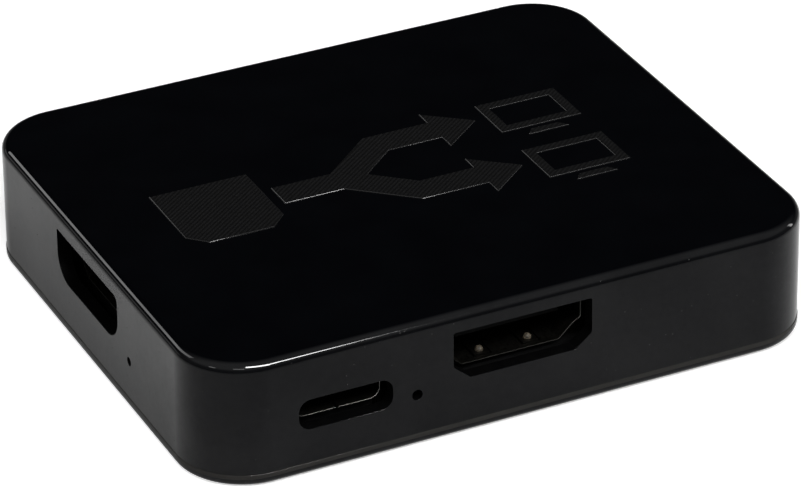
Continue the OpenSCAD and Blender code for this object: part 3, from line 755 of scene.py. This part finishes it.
def makeVideoShell(name, face, node):
    s = videoSocket
    bm = bmesh.new()
    addTube(bm, videoOutline, face, s)
    shell = makePiece(name, bm)
    middles = [side * s["fingerX"] + s["flatShift"] for side in (-1, 1)]
    half, reach = s["fingerWidth"] / 2 + s["slit"], s["slotReach"]
    tip = s["setback"] + s["fingerTip"]
    slots = []
    for middle in middles:
        for z in (s["floor"], s["floor"] + s["height"]):
            slots.append(faceCutter("slot", face, (middle - half, middle + half),
                                    (tip - s["slit"], tip + s["fingerLength"]), (z - reach, z + reach)))
    combine(shell, slots, "DIFFERENCE")
    bm = reopen(shell)
    for middle in middles:
        for upward in (-1, 1):
            addFinger(bm, face, middle, upward)
    addLegs(bm, face, s, 0, s["floor"] + s["shoulder"] + s["sheet"])
    putBack(bm, shell)
    finishPiece(shell, [paints[paint] for paint in videoPaints], "nickel_shell", node)


makeVideoShell("inputShell", "front", "input_socket_shell")
makeVideoShell("firstOutputShell", "left", "output_1_socket_shell")
makeVideoShell("secondOutputShell", "right", "output_2_socket_shell")
print("video sockets made")


# power socket: oval shell with its folding seam underneath

powerSocket = {
    "setback": 1.7,
    "x": -18.733,
    "floor": 5.1,
    "width": 9.2,
    "height": 3.2,
    "corner": 1.25,
    "sheet": 0.21,
    "length": 7.3,
    "rimSoft": 0.012,
    "rimLand": 0.06,
    "rimBevel": 0.35,
    # the rim right of this x takes the brightest copy, painted highlight
    "rimLightTurns": (-14.75,),
    "seam": 0.26,
    "seamReach": 0.6,
    "legWidth": 1.5,
    "legPlaces": (1.2, 5.2),
    "legBottom": 2.7,
}
powerPaints = ("nickelPaintedShade", "rimPaintedLight", "rimPaintedHighlight")


def powerOutline(inset):
    s = powerSocket
    plan = roundedBox(s["width"] - 2 * inset, s["height"] - 2 * inset, s["corner"] - inset, 14)
    return moved(plan, s["x"], s["floor"] + s["height"] / 2)


def makePowerShell(name, node):
    s = powerSocket
    bm = bmesh.new()
    addTube(bm, powerOutline, "front", s)
    shell = makePiece(name, bm)
    depths = (s["setback"] - overrun, s["setback"] + s["length"] + overrun)
    seam = faceCutter("seam", "front", (s["x"] - s["seam"] / 2, s["x"] + s["seam"] / 2),
                      depths, (s["floor"] - overrun, s["floor"] + s["seamReach"]))
    combine(shell, [seam], "DIFFERENCE")
    bm = reopen(shell)
    addLegs(bm, "front", s, s["x"], s["floor"] + s["height"] / 2 + s["sheet"])
    putBack(bm, shell)
    finishPiece(shell, [paints[paint] for paint in powerPaints], "nickel_shell", node)


makePowerShell("powerShell", "power_socket_shell")
print("power socket made")


# emblem on the roof: one line that forks to two screens, raised and hatched

emblem = {
    "centre": (-1.5, 0.4),
    "height": 0.11,
    "sunk": 0.02,           # how far it reaches down into the roof
    "edgeSoft": 0.045,      # length of each of the three facets of the edge
    "edgeSlopes": (30, 50, 70),
    "hatchPitch": 0.40,
    "hatchWidth": 0.22,
    "hatchCrown": 0.25,     # flat top of a rib, as a share of its width
    "hatchHeight": 0.020,
    "hatchSunk": 0.004,
    "hatchMargin": 0.14,
    "hatchAngle": 38,
    "hatchLeast": 0.25,     # shortest rib
    "hatchReach": 40,       # how far the ribs spread to each side of the origin
    "sharpAngle": 25,
    "screens": [(18.9, -5.6), (18.9, 4.8)],     # middles of the two screens
    "screenSize": (9.0, 6.2),
    "screenStroke": 1.15,
    "footGap": 0.55,
}

# closed outlines in millimetres about the emblem's centre, counter-clockwise
forkArrow = [
    (-11.0, -1.7), (-4.6, -1.7), (1.4, -6.9), (8.6, -6.9), (8.6, -8.9), (13.2, -5.2),
    (8.6, -1.5), (8.6, -3.5), (2.7, -3.5), (-1.3, 0.0), (2.7, 3.5), (8.6, 3.5),
    (8.6, 1.5), (13.2, 5.2), (8.6, 8.9), (8.6, 6.9), (1.4, 6.9), (-4.6, 1.7), (-11.0, 1.7),
]
sourceBox = [(-22.4, -3.6), (-20.6, -5.4), (-13.8, -5.4), (-12.0, -3.6),
             (-12.0, 5.4), (-22.4, 5.4)]
screenFoot = [(-2.3, -1.0), (2.3, -1.0), (1.5, 0), (-1.5, 0)]


def clipSpans(outlines, angle, offset):
    # stretches of a slanted line that lie inside a shape, along the line
    ux, uy = cos(angle), sin(angle)
    hits = []
    for outline in outlines:
        for i, (x1, y1) in enumerate(outline):
            x0, y0 = outline[i - 1]
            d0 = y0 * ux - x0 * uy - offset
            d1 = y1 * ux - x1 * uy - offset
            if (d0 > 0) != (d1 > 0):
                t = d0 / (d0 - d1)
                hits.append((x0 + (x1 - x0) * t) * ux + (y0 + (y1 - y0) * t) * uy)
    hits.sort()
    return list(zip(hits[::2], hits[1::2]))


def addRibs(bm, shapes, z, look):
    angle = radians(look["hatchAngle"])
    ux, uy = cos(angle), sin(angle)
    half, sunk, rise = look["hatchWidth"] / 2, look["hatchSunk"], look["hatchHeight"]
    crown = half * look["hatchCrown"]
    section = ((-half, -sunk), (half, -sunk), (crown, rise), (-crown, rise))
    lines = int(look["hatchReach"] / look["hatchPitch"])
    for line in range(-lines, lines + 1):
        offset = line * look["hatchPitch"]
        for span in clipSpans(shapes, angle, offset):
            if span[1] - span[0] > look["hatchLeast"]:
                rings = []
                for along in span:
                    rings.append([(ux * along - uy * (offset + across),
                                   uy * along + ux * (offset + across), z + lift)
                                  for across, lift in section])
                addSkin(bm, rings)


def addRelief(bm, ribs, outline, look, hole=None):
    # low plate with a soft edge of three facets, its matt top crossed by slanting ribs
    z, facet = caseHeight + look["height"], look["edgeSoft"]
    profile = [(0, z)]
    for slope in look["edgeSlopes"]:
        out, up = profile[0]
        profile.insert(0, (out - facet * cos(radians(slope)), up - facet * sin(radians(slope))))
    profile = [(out - profile[0][0], up) for out, up in profile]
    profile.insert(0, (0, caseHeight - look["sunk"]))
    rings = [[(x, y, h) for x, y in insetOutline(outline, inset)] for inset, h in profile]
    shapes = [insetOutline(outline, look["hatchMargin"])]
    if hole is None:
        addSkin(bm, rings)[-1].material_index = 1
    else:
        for inset, h in reversed(profile):
            rings.append([(x, y, h) for x, y in insetOutline(hole, -inset)])
        count = len(outline)
        top = (len(profile) - 1) * count
        for side in addSkin(bm, rings, closed=True)[top:top + count]:
            side.material_index = 1
        shapes.append(insetOutline(hole, -look["hatchMargin"]))
    addRibs(ribs, shapes, z, look)


def makeEmblem(look):
    bm = bmesh.new()
    ribs = bmesh.new()
    cx, cy = look["centre"]
    for outline in (forkArrow, sourceBox):
        addRelief(bm, ribs, moved(outline, cx, cy), look)
    w, h = look["screenSize"][0] / 2, look["screenSize"][1] / 2
    for x, y in look["screens"]:
        screen = moved([(-w, -h), (w, -h), (w, h), (-w, h)], cx + x, cy + y)
        addRelief(bm, ribs, screen, look, insetOutline(screen, look["screenStroke"]))
        addRelief(bm, ribs, moved(screenFoot, cx + x, cy + y - h - look["footGap"]), look)
    reliefPaints, sharp = (paints["reliefEdgePaintedHighlight"], paints["matteRelief"]), look["sharpAngle"]
    finishPiece(makePiece("roofEmblem", bm), reliefPaints, "gloss_case", sharpAngle=sharp)
    finishPiece(makePiece("emblemHatch", ribs), (paints["ribPaintedSheen"],), "gloss_case", sharpAngle=sharp)


makeEmblem(emblem)
print("emblem made")


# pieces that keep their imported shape

nodePaints = {
    "cover_screws": "blackOxide",
    "circuit_board": "boardBlack",
    "input_socket_housing": "socketBlack", "output_1_socket_housing": "socketBlack",
    "output_2_socket_housing": "socketBlack", "power_socket_housing": "socketBlack",
    "input_socket_contacts": "goldContacts", "output_1_socket_contacts": "goldContacts",
    "output_2_socket_contacts": "goldContacts", "power_socket_contacts": "goldContacts",
    "power_light": "milkyLens", "output_1_light": "milkyLens", "output_2_light": "milkyLens",
    "splitter_chip": "chipEpoxy", "splitter_chip_leads": "tinnedLeads",
    "memory_chip": "chipEpoxy", "voltage_regulator": "chipEpoxy", "surge_arrays": "chipEpoxy",
    "power_inductor": "ferriteGrey", "bulk_capacitor": "canAluminium", "crystal": "canSteel",
    "chip_capacitors": "tanCeramic", "chip_resistors": "resistorBlack",
}
for node, paint in nodePaints.items():
    mesh = nodes[node].data
    mesh.materials.clear()
    mesh.materials.append(paints[paint])
print("packed pieces painted:", len(nodePaints))


# floor, room and lamps

floorLook = {
    "size": 4.0,
    "below": 0.00001,               # metres under the object's foot
    "rough": 0.8,
    "white": (0.93, 0.93, 0.93),
    "far": (0.16, 0.16, 0.16),
    "centre": (0.012, -0.005),      # middle of the white sheet, in metres
    "whiteReach": 0.05,             # how far the mirrored floor stays white
    "farReach": 0.135,
    # painted light: the floor glows more left of the line, filling in the object's shadow there
    "lift": (1.00, 0.22),           # added to the white that the camera sees, left and right of a line
    "liftTurn": (-0.036, -0.027),
    "mirrorShare": 0.16,            # part of the lift that mirrors see
}


def makeFloor(look):
    bm = bmesh.new()
    bmesh.ops.create_grid(bm, x_segments=4, y_segments=4, size=look["size"] / 2)
    mesh = bpy.data.meshes.new("floor")
    bm.to_mesh(mesh)
    bm.free()
    floor = bpy.data.objects.new("floor", mesh)
    floor.location.z = -look["below"]
    bpy.context.scene.collection.objects.link(floor)
    material, tree, shader = startMaterial("paleFloor")
    points = objectPoints(tree)
    distance = addNode(tree, "ShaderNodeVectorMath", operation="DISTANCE")
    distance.inputs[1].default_value = (*look["centre"], 0)
    tree.links.new(points, distance.inputs[0])
    fade = spread(tree, distance.outputs["Value"], 0, 1, look["whiteReach"], look["farReach"])
    path = addNode(tree, "ShaderNodeLightPath").outputs
    unseen = mathOn(tree, "SUBTRACT", 1.0, path["Is Camera Ray"])
    colour = mixColours(tree, mathOn(tree, "MULTIPLY", fade, unseen), look["white"], look["far"])
    tree.links.new(colour, shader.inputs["Base Color"])
    shader.inputs["Roughness"].default_value = look["rough"]
    shader.inputs["Specular IOR Level"].default_value = 0.0
    direct = mathOn(tree, "MAXIMUM", path["Is Camera Ray"], path["Is Transmission Ray"])
    seen = mathOn(tree, "MULTIPLY_ADD", path["Is Glossy Ray"], look["mirrorShare"], direct)
    lift = spread(tree, axisOf(tree, points, "X"), *look["lift"], *look["liftTurn"])
    tree.links.new(colour, shader.inputs["Emission Color"])
    tree.links.new(mathOn(tree, "MULTIPLY", seen, lift), shader.inputs["Emission Strength"])
    mesh.materials.append(material)


makeFloor(floorLook)

roomLook = {
    "front": 1.05,          # pale end of the room, on the camera's side
    "back": 0.03,           # dark end, behind the object
    "darkAzimuth": 15,      # degrees from +Y towards +X of the dark end
    "turn": (-0.15, 0.75),  # where the pale end turns dark, as a cosine to the dark end
    "horizon": 0.12,        # share of the light left at floor level
    "rise": (0.12, 0.60),   # height, as the z of a direction, over which it comes back
    "haze": 0.22,           # pale strip along the far edge of the floor
    "hazeTop": (0.06, 0.30),
}


def makeRoom(look):
    world = bpy.data.worlds.new("studio")
    bpy.context.scene.world = world
    world.use_nodes = True
    tree = world.node_tree
    background = tree.nodes["Background"]
    direction = addNode(tree, "ShaderNodeTexCoord").outputs["Generated"]
    along = addNode(tree, "ShaderNodeVectorMath", operation="DOT_PRODUCT")
    turn = radians(look["darkAzimuth"])
    along.inputs[1].default_value = (sin(turn), cos(turn), 0)
    tree.links.new(direction, along.inputs[0])
    height = axisOf(tree, direction, "Z")
    wall = spread(tree, along.outputs["Value"], look["front"], look["back"], *look["turn"], "SMOOTHSTEP")
    share = spread(tree, height, look["horizon"], 1, *look["rise"], "SMOOTHSTEP")
    haze = spread(tree, height, look["haze"], 0, *look["hazeTop"], "SMOOTHSTEP")
    tree.links.new(mathOn(tree, "MULTIPLY_ADD", wall, share, haze), background.inputs["Strength"])
    background.inputs["Color"].default_value = (1, 1, 1, 1)


makeRoom(roomLook)

# softboxes: azimuth in degrees from +Y towards +X, elevation, metres away, width and height,
# roll, brightness of the face, and whether it lights, or only shows in what mirrors it
lamps = {
    "keyBox": {"azimuth": 148, "elevation": 50, "away": 1.0, "size": (0.5, 0.5), "roll": 0,
               "glow": 7.0, "use": "light"},
    "backStrip": {"azimuth": -41, "elevation": 33, "away": 1.0, "size": (0.66, 0.25), "roll": 27,
                  "glow": 5.4, "use": "mirror"},
    "backCard": {"azimuth": -38, "elevation": 4, "away": 1.0, "size": (0.62, 0.14), "roll": 0,
                 "glow": 0.5, "use": "mirror"},
    "frontStrip": {"azimuth": 174, "elevation": 48.5, "away": 0.92, "size": (0.50, 0.18), "roll": -22,
                   "glow": 130.0, "use": "mirror"},
    "cornerCard": {"azimuth": -110, "elevation": 28, "away": 1.0, "size": (0.16, 0.10), "roll": 0,
                   "glow": 9.0, "use": "mirror"},
    "lowCard": {"azimuth": -151, "elevation": 36, "away": 1.0, "size": (0.26, 0.11), "roll": 0,
                "glow": 9.0, "use": "mirror"},
    "sideCard": {"azimuth": 95, "elevation": 13, "away": 1.0, "size": (0.11, 0.40), "roll": 0,
                 "glow": 10.0, "use": "mirror"},
}


def makeLamp(name, look):
    width, height = look["size"]
    light = bpy.data.lights.new(name, "AREA")
    light.shape = "RECTANGLE"
    light.size = width
    light.size_y = height
    light.energy = look["glow"] * pi * width * height
    lamp = bpy.data.objects.new(name, light)
    bpy.context.scene.collection.objects.link(lamp)
    a, e = radians(look["azimuth"]), radians(look["elevation"])
    direction = Vector((sin(a) * cos(e), cos(a) * cos(e), sin(e)))
    lamp.location = direction * look["away"]
    aim = direction.to_track_quat("Z", "Y").to_matrix() @ Matrix.Rotation(radians(look["roll"]), 3, "Z")
    lamp.rotation_euler = aim.to_euler()
    lamp.visible_glossy = look["use"] == "mirror"
    lamp.visible_diffuse = look["use"] == "light"


for name, look in lamps.items():
    makeLamp(name, look)
print("lamps placed:", len(lamps))


# camera, solved from the photograph's outline

photoCamera = {
    "azimuth": -25.567,             # degrees, 0 looks along +Y
    "elevation": 29.768,
    "roll": -0.6206,
    "distance": 0.45213,            # metres from the aim point
    "aim": (-0.0011837, -0.0037968, 0.0068),
    "lens": 205.81,
    "sensor": 36.0,
    "near": 0.01,
}


def makeCamera(look):
    a, e, r = (radians(look[key]) for key in ("azimuth", "elevation", "roll"))
    back = Vector((sin(a) * cos(e), -cos(a) * cos(e), sin(e)))
    right = Vector((cos(a), sin(a), 0))
    up = back.cross(right)
    across = right * cos(r) + up * sin(r)
    upright = up * cos(r) - right * sin(r)
    data = bpy.data.cameras.new("photoCamera")
    data.sensor_fit = "HORIZONTAL"
    data.sensor_width = look["sensor"]
    data.lens = look["lens"]
    data.clip_start = look["near"]
    camera = bpy.data.objects.new("photoCamera", data)
    bpy.context.scene.collection.objects.link(camera)
    turn = Matrix((across, upright, back)).transposed().to_4x4()
    camera.matrix_world = Matrix.Translation(Vector(look["aim"]) + back * look["distance"]) @ turn
    bpy.context.scene.camera = camera


makeCamera(photoCamera)
bpy.context.scene.view_settings.view_transform = "Standard"
print("camera placed")
